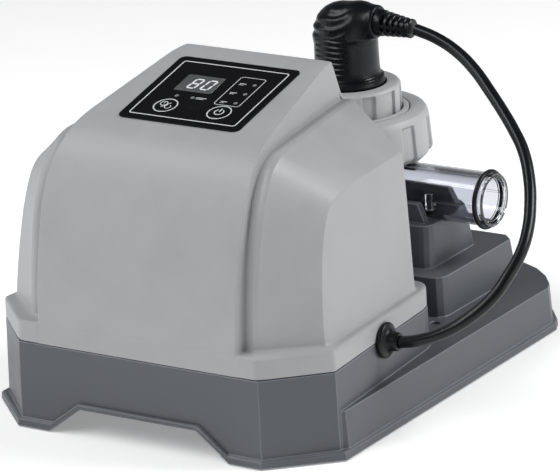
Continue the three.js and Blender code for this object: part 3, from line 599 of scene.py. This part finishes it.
# ---- Port rings -----------------------------------------------------------------------
# Rubber O-rings stretched into the groove behind each port's end flange. They seal the
# hose that is pushed over the port and clamped.
ring_rubber = finish("ring_rubber", (0.004, 0.005, 0.006), 0.36, grain=2400, depth=0.04,
                     mottle=0.08, dust=0.0, Specular_IOR_Level=0.28)
ring_radius = 20.4
ring_thickness = 3.5
ring_section = [math.radians(turn) for turn in range(0, 361, 24)]
for name, station in (("port_ring_right", 115.9), ("port_ring_left", -115.9)):
    ring_shape = turned([
        (ring_radius + 0.5 * ring_thickness * math.cos(turn),
         0.5 * ring_thickness * math.sin(turn)) for turn in ring_section
    ], along="X", centre=(station, cell_axis.y, tube_height))
    port_ring = piece(f"{name}_seal", ring_shape, ring_rubber, face_out=True)
    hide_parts(name)


# ---- Cover ----------------------------------------------------------------------------
# The cover is one moulding in light grey ABS with a fine satin grain. A raised band runs
# up the front and over the top, with a lower wing on each side, above a rim on the seam.
# Four screws from below hold it on the base.
cover_grey = finish("cover_grey", (0.350, 0.358, 0.366), 0.46, grain=1300, depth=0.2,
                    mottle=0.05, dust=0.02)
# Lines of (depth, height) points that run up the front, over the top and down the rear.
# The wing's crease also has its own reach to the side, and edge_row is the top's rear edge.
band_rows = [
    (1.0, 82), (2.4, 101.6), (9.2, 139), (15.5, 163), (22, 178), (31.5, 193), (43, 204.4),
    (55, 211.6), (70, 216.3), (76, 217.7), (141, 233.3), (165, 239.0), (173, 238.6),
    (188, 203), (189, 82),
]
trough_rows = [
    (12, 82), (12.6, 101), (17.3, 135), (21.5, 155), (27.7, 173), (34.3, 185.5), (43, 195.5),
    (50, 200.8), (58, 204), (66, 206), (141, 208), (168, 208.3), (185.4, 208), (187.6, 192),
    (188, 82),
]
crease_rows = [
    (129.6, 41, 82), (127.9, 42.6, 105), (125.8, 48.1, 135), (124.9, 52.3, 150),
    (124.2, 58.9, 165), (123.9, 64, 171.5), (123.7, 70, 175.5), (123.5, 77, 177.8),
    (123.5, 86, 179.2), (123.5, 96, 180), (123.2, 140, 182.2), (122.8, 155, 182.9),
    (122.5, 163, 182.6), (123.2, 166, 140), (124.5, 168, 82),
]
edge_row = 12
side_foot = [43.5, 47, 52, 57, 64, 70, 76, 83, 91, 100, 138, 152, 160, 164, 167]
band_front_half = 83
band_taper = 0.142
taper_start = 20


def band_half(depth):
    """Half the band's width, which narrows towards the rear."""
    return band_front_half - band_taper * max(0, depth - taper_start)


def between(first, second, share):
    """A line of points part of the way from one line to the next."""
    return [tuple(Vector(a).lerp(Vector(b), share)) for a, b in zip(first, second)]


def lifted(line, rise):
    """Moves a line of points out of the surface by a small rise."""
    moved = []
    for here, before, after in zip(line, line[:1] + line[:-1], line[1:] + line[-1:]):
        way = Vector(after) - Vector(before)
        moved.append(tuple(Vector(here) + Vector((0, -way.z, way.y)).normalized() * rise))
    return moved


middle_line = [(0, y, z) for y, z in band_rows]
panel_line = [(42, y, z) for y, z in band_rows]
shoulder = [(band_half(y) - 6, y, z) for y, z in band_rows]
band_edge = [(band_half(y), y, z - 0.2) for y, z in band_rows]
trough = [(band_half(y) + 1.5, y, z) for y, z in trough_rows]
strip_edge = [(band_half(y) + 12, y - 0.4, z - 0.3) for y, z in trough_rows]
side_line = [(130.3 - (y - side_foot[0]) * 0.0405, y, 82) for y in side_foot]
columns = [
    middle_line, panel_line, shoulder, band_edge,
    between(band_edge, trough, 0.14), between(band_edge, trough, 0.82), trough,
    lifted(between(trough, strip_edge, 0.32), 0.2),
    lifted(between(trough, strip_edge, 0.66), 1.5), strip_edge,
    lifted(between(strip_edge, crease_rows, 0.05), -0.5),
    between(strip_edge, crease_rows, 0.93),
    crease_rows, between(crease_rows, side_line, 0.07), side_line,
]
rear_tucks = (0, 0, 1, 3.4, 2.4, 1.2) + (0,) * 9
for column, tuck in zip(columns, rear_tucks):
    below_edge = Vector(column[edge_row]).lerp(Vector(column[edge_row + 1]), 0.12)
    column.insert(edge_row + 1, tuple(below_edge))
    for row in range(edge_row + 1, len(column)):
        column[row] = (column[row][0] - tuck, *column[row][1:])
front_rim = [(0, 0), (42, 0), (77, 0), (83, 0), (84, 0), (86, 0), (88, 0), (91, 0), (94, 0),
             (98.6, 0), (103, 3), (136, 35.4), (138, 37.4), (138.8, 38.8), (138.7, 40)]
rear_rim = [(0, 190), (42, 190), (55, 190), (60, 190), (61, 190), (62, 190), (64, 190),
            (68, 190), (72, 190), (76, 190), (82, 190), (115, 189.8), (121.6, 187.2),
            (125.6, 182.4), (127.4, 176)]

skin = bmesh.new()
grid = [[skin.verts.new(spot) for spot in column] for column in columns]
for column in grid:
    for pair in zip(column, column[1:]):
        skin.edges.new(pair)
for left, right in zip(grid, grid[1:]):
    edges = [skin.edges.get(pair) for column in (left, right)
             for pair in zip(column, column[1:])]
    bmesh.ops.bridge_loops(skin, edges=edges)
hold = skin.edges.layers.float.new("crease_edge")
for column, sharpness in ((3, 0.6), (6, 0.7), (9, 0.85), (12, 0.7)):
    for row, pair in enumerate(zip(grid[column], grid[column][1:])):
        skin.edges.get(pair)[hold] = sharpness if row < edge_row - 1 else sharpness * 0.6
for index, (left, right) in enumerate(zip(grid, grid[1:])):
    skin.edges.get((left[edge_row], right[edge_row]))[hold] = 0.7 if index < 6 else 0.4
# The top is open under the panel.
panel_hole = [face for face in skin.faces
              if all(v in (*grid[0][9:11], *grid[1][9:11]) for v in face.verts)]
bmesh.ops.delete(skin, geom=panel_hole, context="FACES_ONLY")

last = len(grid[0]) - 1
foot_line = [column[0] for column in grid]
foot_line += grid[-1][1:last + 1]
foot_line += [column[last] for column in reversed(grid[:-1])]
side_start, side_end = front_rim[-1][1], rear_rim[-1][1]
wall_half, wall_front, wall_taper = 138.8, 38.2, 0.0811
rim_line = list(front_rim)
for spot in columns[-1][1:last]:
    share = (spot[1] - side_foot[0]) / (side_foot[-1] - side_foot[0])
    along = side_start + share * (side_end - side_start)
    rim_line.append((wall_half - (along - wall_front) * wall_taper, along))
rim_line += list(reversed(rear_rim))


corner_start, front_end, rear_start = 95, 38, 181


def rim_spot(spot, inset, height):
    """A point on the rim's outline, moved in towards the middle of the box."""
    x, y = spot
    inwards = Vector((0 if x < corner_start else -1, 0))
    inwards.y = 1 if y < front_end else -1 if y > rear_start else 0
    if x > corner_start and inwards.y:
        inwards = inwards * 0.71
    return x + inwards.x * inset, y + inwards.y * inset, height


# Each ring is its share of the way from the foot to the rim, then its inset, its height
# and how sharp it stays.
rim_foot = 64
above_line = foot_line
for share, inset, height, sharpness in (
    (0.05, 2.4, 81.0, 0), (0.25, 2.4, 79.6, 0), (0.7, 2.4, 79.1, 0), (1, 2.4, 78.9, 0),
    (1, 0.7, 78.1, 0), (1, 0.1, 76.6, 0.2), (1, 0, 73.0, 0), (1, 0, rim_foot, 0.4),
    (1, 0.4, rim_foot - 0.5, 0),
):
    below_line = []
    for start, spot in zip(foot_line, rim_line):
        flush = spot[1] == 0 and spot[0] <= band_front_half
        kept_in = (height - rim_foot) * 0.05 if flush else inset
        wanted = start.co.lerp(Vector(rim_spot(spot, kept_in, height)), share)
        wanted.z = height
        below_line.append(skin.verts.new(wanted))
    for pair in zip(below_line, below_line[1:]):
        skin.edges.new(pair)[hold] = sharpness
    edges = [skin.edges.get(pair) for line in (above_line, below_line)
             for pair in zip(line, line[1:])]
    bmesh.ops.bridge_loops(skin, edges=edges)
    above_line = below_line
loose = [edge for edge in skin.edges if not edge.link_faces]
bmesh.ops.delete(skin, geom=loose, context="EDGES")
bmesh.ops.mirror(skin, geom=skin.verts[:] + skin.edges[:] + skin.faces[:],
                 matrix=Matrix.Identity(4), merge_dist=0.001, axis="X")
bmesh.ops.recalc_face_normals(skin, faces=skin.faces)
top_face = max(skin.faces, key=lambda face: face.calc_center_median().z)
if top_face.normal.z < 0:
    bmesh.ops.reverse_faces(skin, faces=skin.faces)
cover = piece("cover_shell", skin, cover_grey, sharp=180)
smooth = cover.modifiers.new("smooth", "SUBSURF")
smooth.levels = smooth.render_levels = 3
wall = cover.modifiers.new("wall", "SOLIDIFY")
wall.thickness = 0.0026
wall.offset = -1
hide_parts("cover")


# ---- Base -----------------------------------------------------------------------------
# The base is moulded in dark grey ABS: a deep tray under the cover, and a platform behind
# it whose steps and saddle carry the flow cell. A lip runs round its foot, and a thin bead
# round the arch cut in its front.
base_grey = finish("base_grey", (0.080, 0.088, 0.100), 0.42, grain=1500, depth=0.14,
                   mottle=0.05, dust=0.10, edge=1.7)
nodes["base_shell"].data.materials[0] = base_grey
arch_inner = [(-80, 0.8), (-75.4, 0.8), (-49.1, 20.4), (49.1, 20.4), (75.4, 0.8), (80, 0.8)]
arch_outer = [(-80, 4.0), (-77.6, 4.0), (-50.2, 24), (50.2, 24), (77.6, 4.0), (80, 4.0)]
bead = bmesh.new()
bead_back, bead_front = 0.8, -4.6
rows = [[bead.verts.new((x, depth, z)) for x, z in line]
        for line, depth in ((arch_inner, bead_back), (arch_inner, bead_front),
                            (arch_outer, bead_front), (arch_outer, bead_back))]
for row, following in zip(rows, rows[1:] + rows[:1]):
    for i in range(len(row) - 1):
        bead.faces.new((row[i], row[i + 1], following[i + 1], following[i]))
for end in (0, -1):
    bead.faces.new([row[end] for row in rows])
bead_edges = [edge for edge in bead.edges
              if all(vert.co.y < -4 for vert in edge.verts) and not edge.is_boundary
              and abs(edge.verts[0].co.x - edge.verts[1].co.x) > 4.1]
bmesh.ops.bevel(bead, geom=bead_edges, offset=1.1, offset_type="OFFSET", segments=3,
                profile=0.5, affect="EDGES", material=-1)
piece("arch_bead", bead, base_grey, face_out=True)


# ---- Control panel --------------------------------------------------------------------
# A gloss black overlay with rounded corners is stuck on the sloping top. White lines are
# printed on it, and it is pierced for the window, two buttons and five lights.
panel_gloss = finish("panel_gloss", (0.003, 0.003, 0.004), 0.12, grain=400, depth=0.02,
                     mottle=0.10, dust=0.0, Specular_IOR_Level=0.35)
print_white = finish("print_white", (0.66, 0.67, 0.68), 0.45, grain=2600, depth=0.05,
                     mottle=0.04, dust=0.0)
panel_slope = 0.2395
on_panel = (Matrix.Translation((0, 108.7, 225.5))
            @ Matrix.Rotation(math.atan(panel_slope), 4, "X"))
window_place = (-14.5, 10.3)
ink_layer = (0.45, 0.66)


def sheet_plate(width, length, corner, low, high, x=0, y=0, rings=6):
    """A flat plate with rounded corners, from a low to a high face."""
    shape = bmesh.new()
    bmesh.ops.create_grid(shape, x_segments=1, y_segments=1, size=0.5)
    bmesh.ops.scale(shape, vec=(width, length, 1), verts=shape.verts)
    bmesh.ops.bevel(shape, geom=shape.verts[:], offset=corner, offset_type="OFFSET",
                    segments=rings, profile=0.5, affect="VERTICES", material=-1)
    shifted(shape, (x, y, low))
    risen = bmesh.ops.extrude_face_region(shape, geom=shape.faces[:])["geom"]
    bmesh.ops.translate(shape, vec=(0, 0, high - low),
                        verts=[part for part in risen if isinstance(part, bmesh.types.BMVert)])
    bmesh.ops.recalc_face_normals(shape, faces=shape.faces)
    return shape


def disc(radius, low, high, x=0, y=0, steps=64):
    """A round plate."""
    return turned([(0, low), (radius, low), (radius, high), (0, high)], steps=steps,
                  centre=(x, y, 0))


level_rows = {"light_high": 17.4, "light_good": 4.5, "light_low": -8.4}
lights = {"light_timer": (-22.1, -8.5), "light_flow": (-8.7, -8.5)}
lights.update({name: (27.1, row) for name, row in level_rows.items()})
buttons = {"timer_button": (-22.4, -22.8), "power_button": (22.4, -22.8)}
overlay = carved(
    sheet_plate(101, 87.8, 5, -0.6, 0.6),
    cut=[sheet_plate(31.9, 22.8, 1.8, -3, 3, *window_place)]
    + [disc(8.2, -3, 3, *place) for place in buttons.values()]
    + [disc(1.9, -3, 3, *place, steps=24) for place in lights.values()],
)
overlay.transform(on_panel)
panel_overlay = piece("panel_sheet", overlay, panel_gloss)
rounded(panel_overlay, 0.25, 2, 50)
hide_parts("panel_overlay")


def frame_line(width, length, corner, thick, x=0, y=0):
    """A printed line round a rounded rectangle."""
    return carved(sheet_plate(width, length, corner, *ink_layer, x, y),
                  cut=[sheet_plate(width - 2 * thick, length - 2 * thick,
                                   max(0.4, corner - thick), 0.2, 1, x, y)])


def printed_bar(x, y, long, thick, turn=0, layer=ink_layer):
    """A short printed stroke."""
    bar = sheet_plate(long, thick, thick * 0.3, *layer, rings=2)
    return shifted(swung(bar, math.radians(turn)), (x, y, 0))


def printed_arc(x, y, radius, thick, start, sweep, layer=ink_layer):
    """A printed arc, as a thin swept strip."""
    low, high = layer
    strip = bmesh.new()
    bmesh.ops.create_cube(strip, size=1)
    bmesh.ops.delete(strip, geom=[face for face in strip.faces if face.normal.y > -0.5],
                     context="FACES")
    bmesh.ops.scale(strip, vec=(thick, 1, high - low), verts=strip.verts)
    shifted(strip, (radius, 0.5, (low + high) / 2))
    swung(strip, math.radians(start))
    swept(strip, math.radians(sweep), max(8, int(sweep / 8)))
    bmesh.ops.recalc_face_normals(strip, faces=strip.faces)
    return shifted(strip, (x, y, 0))


prints = [frame_line(89, 75.8, 2.6, 0.9), frame_line(21.2, 39.5, 2.4, 0.5, 21.6, 6.6)]
for place in buttons.values():
    prints.append(carved(disc(9.1, *ink_layer, *place), cut=[disc(8.25, 0.2, 1, *place)]))
for row in level_rows.values():
    prints += [printed_bar(17.4, row, 5.4, 0.7), printed_bar(16.6, row - 1.6, 3.8, 0.5)]
prints += [printed_bar(-1.6, -8.0, 8.6, 0.7), printed_bar(-2.6, -9.6, 6.6, 0.5)]
marks = together(*prints)
marks.transform(on_panel)
piece("panel_print", marks, print_white)


# ---- Panel window ---------------------------------------------------------------------
# A smoked plastic window let into the overlay, above a two-digit display. The digits are
# lit segments that lean a little, as on any timer.
window_smoke = finish("window_smoke", (0.085, 0.088, 0.092), 0.16, grain=300, depth=0.05,
                      mottle=0.30, dust=0.02, Coat_Weight=0.4, Coat_Roughness=0.05)
window_shape = sheet_plate(31.3, 22.2, 1.5, -0.6, 0.5, *window_place)
window_shape.transform(on_panel)
window = piece("window_pane", window_shape, window_smoke)
rounded(window, 0.2, 2, 50)
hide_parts("display_window")


def lit_finish():
    """A lit white segment with a faint ripple in its glow."""
    material = finish("segment_lit", (0.62, 0.64, 0.66), 0.4, grain=900, mottle=0.06, dust=0)
    tree = material.node_tree
    shader = tree.nodes["Principled BSDF"]
    glow = node(tree, "Mix", data_type="RGBA")
    glow.inputs["A"].default_value = (0.42, 0.45, 0.48, 1)
    glow.inputs["B"].default_value = (0.60, 0.63, 0.67, 1)
    ripple = node(tree, "TexNoise", {"Scale": 700})
    where = node(tree, "TexCoord")
    wire(
        tree,
        (where, "Object", ripple, "Vector"), (ripple, "Fac", glow, "Factor"),
        (glow, "Result", shader, "Emission Color"),
    )
    shader.inputs["Emission Strength"].default_value = 0.35
    return material


segment_lit = lit_finish()
segment_high, segment_wide, lean = 6.2, 3.1, 0.16
segment_places = {
    "a": (0, segment_high, 0), "g": (0, 0, 0), "d": (0, -segment_high, 0),
    "f": (-segment_wide, segment_high / 2, 90), "b": (segment_wide, segment_high / 2, 90),
    "e": (-segment_wide, -segment_high / 2, 90), "c": (segment_wide, -segment_high / 2, 90),
}
segments = []
for x, shown in ((-17.6, "abcdefg"), (-6.4, "abcdef")):
    for key in shown:
        aside, up, turn = segment_places[key]
        dash = printed_bar(0, 0, 5.1, 1.25, turn, (0.48, 0.72))
        for point in dash.verts:
            point.co.x += aside + (up + point.co.y) * lean
            point.co.y += up
        segments.append(shifted(dash, (x, 9.6, 0)))
digits_shape = together(*segments)
digits_shape.transform(on_panel)
piece("digits", digits_shape, segment_lit)


# ---- Buttons --------------------------------------------------------------------------
# Two round push buttons, each a gloss black cap over a tact switch on the panel's board.
# A timer mark is printed on one and a power mark on the other.
cap_ink = (0.7, 1)
for name, (x, y) in buttons.items():
    cap = turned([
        (0, -2), (2.5, -2), (2.5, -1.1), (7.9, -1.1), (7.9, 0.5), (7.6, 0.8), (7.2, 0.9),
        (0, 0.82),
    ], steps=64, centre=(x, y, 0))
    cap.transform(on_panel)
    button = piece(f"{name}_cap", cap, panel_gloss, body=name)
    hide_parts(name)
    if name == "power_button":
        strokes = [printed_arc(x, y, 3.4, 0.8, 125, 290, cap_ink),
                   printed_bar(x, y + 2.6, 4.4, 0.8, 90, cap_ink)]
    else:
        strokes = [printed_arc(x - 2.2, y + 1.8, 2.7, 0.6, 0, 360, cap_ink),
                   printed_arc(x + 2.9, y - 1.9, 2.3, 0.6, 120, 300, cap_ink),
                   printed_bar(x + 0.4, y, 8.4, 0.6, 55, cap_ink),
                   printed_bar(x - 2.2, y + 2.6, 2.0, 0.5, 90, cap_ink)]
    symbol = together(*strokes)
    symbol.transform(on_panel)
    piece(f"{name}_mark", symbol, print_white, body=name)


# ---- Panel lights ---------------------------------------------------------------------
# Five plastic light pipes carry the lamps on the board up through the overlay. All are
# unlit, so they show as dull grey dots.
pipe_white = finish("pipe_white", (0.20, 0.205, 0.21), 0.3, grain=900, mottle=0.12, dust=0)
for name in lights:
    nodes[name].data.materials[0] = pipe_white


# ---- Lead grommet ---------------------------------------------------------------------
# A stepped black rubber bush, held in the seam between cover and base. Its nose tapers
# round the lead.
wall_turn = 0.0809
on_wall = Matrix.Translation((132.93, 110.6, 62)) @ Matrix.Rotation(wall_turn, 4, "Z")
grommet_shape = turned([
    (4.65, -9.4), (12, -9.4), (12, -6), (9.7, -6), (9.7, 0.5), (12.4, 0.5), (12.8, 1),
    (12.8, 2.6), (12.4, 3.5), (11.6, 4.1), (9.6, 4.5), (8.2, 5.2), (7.5, 6.4), (6.9, 9),
    (6.4, 12), (6, 12.6), (4.65, 12.6), (4.65, -9.4),
], steps=72, along="X")
grommet_shape.transform(on_wall)
grommet = piece("lead_grommet", grommet_shape, ring_rubber)
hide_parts("cell_grommet")


# ---- Other parts kept from the frame --------------------------------------------------
# Feet, seals, screws, boards and the parts on them keep their shapes, each in the finish
# of its own material.
board_green = finish("board_green", (0.012, 0.085, 0.045), 0.42, grain=500, mottle=0.12)
copper = finish("copper", (0.45, 0.20, 0.09), 0.32, grain=700, mottle=0.10, Metallic=1.0)
steel = finish("steel", (0.46, 0.47, 0.48), 0.30, grain=1200, mottle=0.08, Metallic=1.0)
titanium = finish("titanium", (0.11, 0.105, 0.105), 0.48, grain=600, depth=0.3, mottle=0.2,
                  Metallic=1.0)
part_black = finish("part_black", (0.016, 0.016, 0.018), 0.45, grain=900, mottle=0.12)
part_white = finish("part_white", (0.62, 0.63, 0.63), 0.42, grain=1100, mottle=0.05)
foot_rubber = finish("foot_rubber", (0.016, 0.017, 0.018), 0.72, grain=1300, depth=0.2,
                     mottle=0.12)
kept_finishes = {
    "display_board": board_green, "power_board": board_green, "display_module": part_black,
    "transformer": part_black, "capacitor_1": part_black, "capacitor_2": part_black,
    "mains_gland": part_black, "cell_wire": part_black, "mains_wire": part_black,
    "timer_switch": steel, "power_switch": steel, "heat_sink": steel,
    "terminal_block": part_white, "relay": part_white, "ribbon_lead": part_white,
    "plate_holder": part_white, "flow_paddle": part_white, "cover_gasket": foot_rubber,
    "cell_seal": foot_rubber, "housing_screw_1": steel, "housing_screw_2": steel,
}
kept_finishes.update({f"foot_{n}": foot_rubber for n in range(1, 5)})
kept_finishes.update({f"cover_screw_{n}": steel for n in range(1, 5)})
kept_finishes.update({f"terminal_pin_{n}": copper for n in range(1, 4)})
kept_finishes.update({f"electrode_{n}": titanium for n in range(1, 6)})
for name, material in kept_finishes.items():
    nodes[name].data.materials[0] = material


# ---- Floor and lights -----------------------------------------------------------------
# A plain pale floor, one strong soft light behind on the right and a low one beside it,
# weaker ones on the left, in front and high up, and a sky brightest at the horizon.
floor_mesh = bpy.data.meshes.new("floor")
floor_shape = bmesh.new()
bmesh.ops.create_grid(floor_shape, x_segments=1, y_segments=1, size=6)
floor_shape.to_mesh(floor_mesh)
floor_shape.free()
floor = bpy.data.objects.new("floor", floor_mesh)
floor.location.z = -0.0002
scene_objects.link(floor)
floor_paint = bpy.data.materials.new("floor_paint")
floor_paint.use_nodes = True
paint = floor_paint.node_tree.nodes["Principled BSDF"]
for socket, value in (("Base Color", (0.95, 0.95, 0.95, 1)), ("Roughness", 0.9),
                      ("Emission Color", (1, 1, 1, 1)), ("Emission Strength", 0.26)):
    paint.inputs[socket].default_value = value
floor_mesh.materials.append(floor_paint)

sky = bpy.data.worlds.new("studio")
sky.use_nodes = True
direction = node(sky.node_tree, "TexCoord")
parts = node(sky.node_tree, "SeparateXYZ")
fall = node(sky.node_tree, "ValToRGB")
horizon, zenith = fall.color_ramp.elements
horizon.position = 0.12
horizon.color = (0.25, 0.25, 0.25, 1)
zenith.position = 0.55
zenith.color = (0.07, 0.07, 0.07, 1)
wire(
    sky.node_tree,
    (direction, "Generated", parts, 0), (parts, "Z", fall, "Fac"),
    (fall, "Color", sky.node_tree.nodes["Background"], "Color"),
)
bpy.context.scene.world = sky
lamp_aim = Vector((0, 0, 0.1))
for name, spot, size, power in (
    ("left_light", (-1.75, -0.9, 0.8), (1.1, 1.1), 6),
    ("right_light", (1.5, 0.9, 1.6), (1.0, 1.0), 37),
    ("low_light", (2.0, 0.35, 0.4), (1.4, 0.5), 5),
    ("front_light", (-0.25, -1.6, 1.4), (0.7, 0.7), 8),
    ("high_light", (-0.85, -0.85, 1.75), (1.9, 0.5), 20),
):
    lamp_data = bpy.data.lights.new(name, "AREA")
    lamp_data.shape = "RECTANGLE"
    lamp_data.size, lamp_data.size_y = size
    lamp_data.energy = power
    lamp = bpy.data.objects.new(name, lamp_data)
    lamp.location = spot
    way = lamp_aim - Vector(spot)
    lamp.rotation_euler = way.to_track_quat("-Z", "Y").to_euler()
    scene_objects.link(lamp)
bpy.context.scene.view_settings.view_transform = "Standard"
